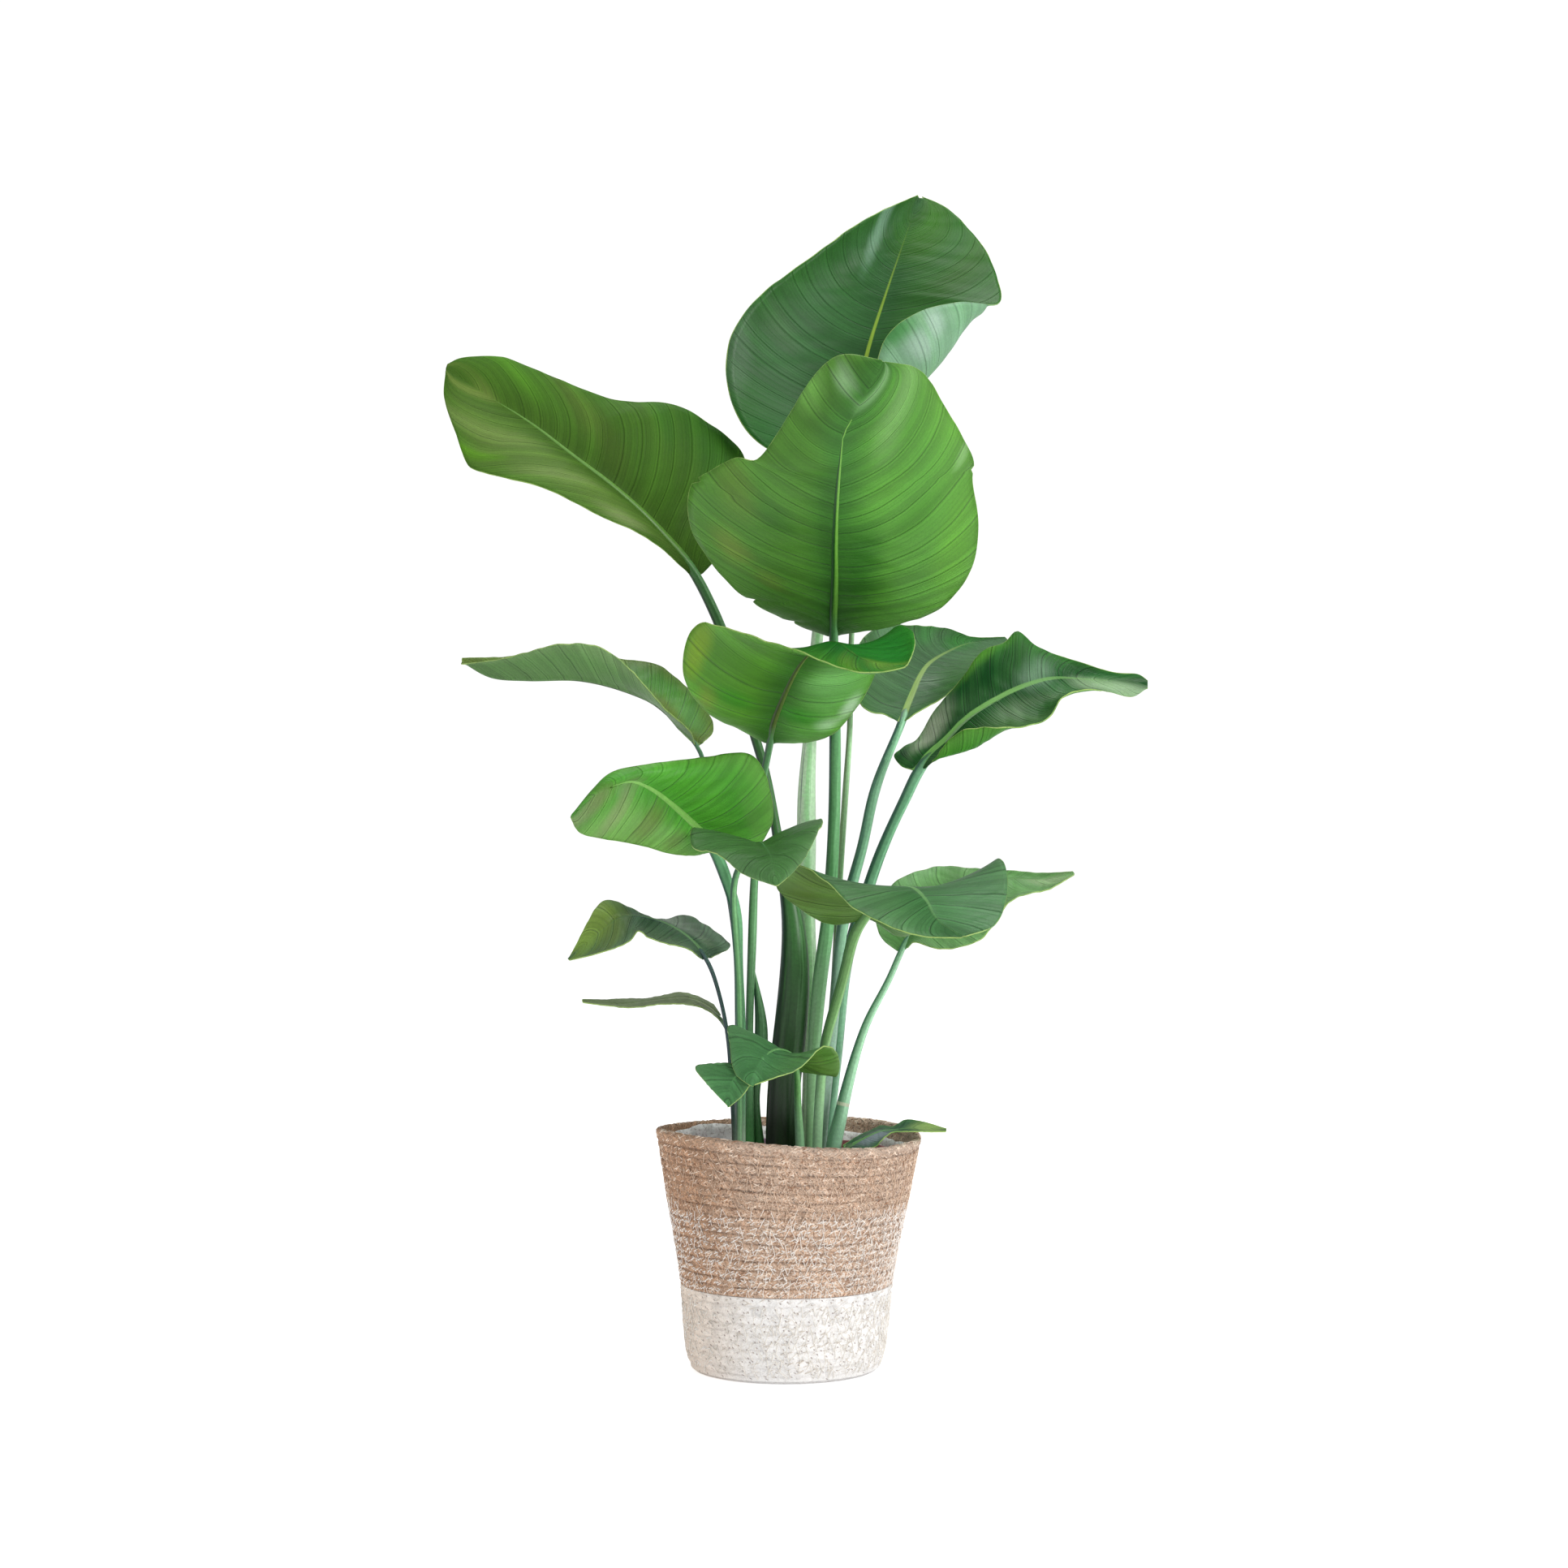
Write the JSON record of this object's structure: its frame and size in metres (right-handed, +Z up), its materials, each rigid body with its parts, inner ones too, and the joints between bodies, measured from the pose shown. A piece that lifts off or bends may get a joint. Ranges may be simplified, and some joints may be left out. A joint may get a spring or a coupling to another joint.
{
  "type": "potted bird of paradise",
  "caption": "Young broad-leaved bird of paradise plant in a nursery pot, standing in a soft two-colour coiled rope basket.",
  "frame": {"origin": "middle of the basket's flat underside, under the middle of its rim", "axes": "+Z up the plant, +X to the right and +Y away, as seen from the front"},
  "size_m": [0.4686, 0.2738, 0.803],
  "materials": {
    "rope_white": "matte",
    "rope_natural": "matte",
    "film": "gloss",
    "nursery_pot": "matte",
    "soil": "matte",
    "leaf": "satin"
  },
  "bodies": {
    "root": {"basket_white_rope": "rope_white", "basket_natural_rope": "rope_natural", "film_lining": "film", "nursery_pot": "nursery_pot", "potting_soil": "soil", "leaf_top_back": "leaf", "leaf_centre_front": "leaf", "leaf_upper_left": "leaf", "leaf_middle_front": "leaf", "leaf_middle_right": "leaf", "leaf_right": "leaf", "leaf_left": "leaf", "leaf_lower_left_front": "leaf", "leaf_front_drooping": "leaf", "leaf_lower_right_front": "leaf", "leaf_lower_right_back": "leaf", "leaf_low_left": "leaf", "leaf_low_left_thin": "leaf", "leaf_low_front": "leaf", "leaf_over_rim": "leaf", "rolled_spear": "leaf"}
  },
  "joints": []
}
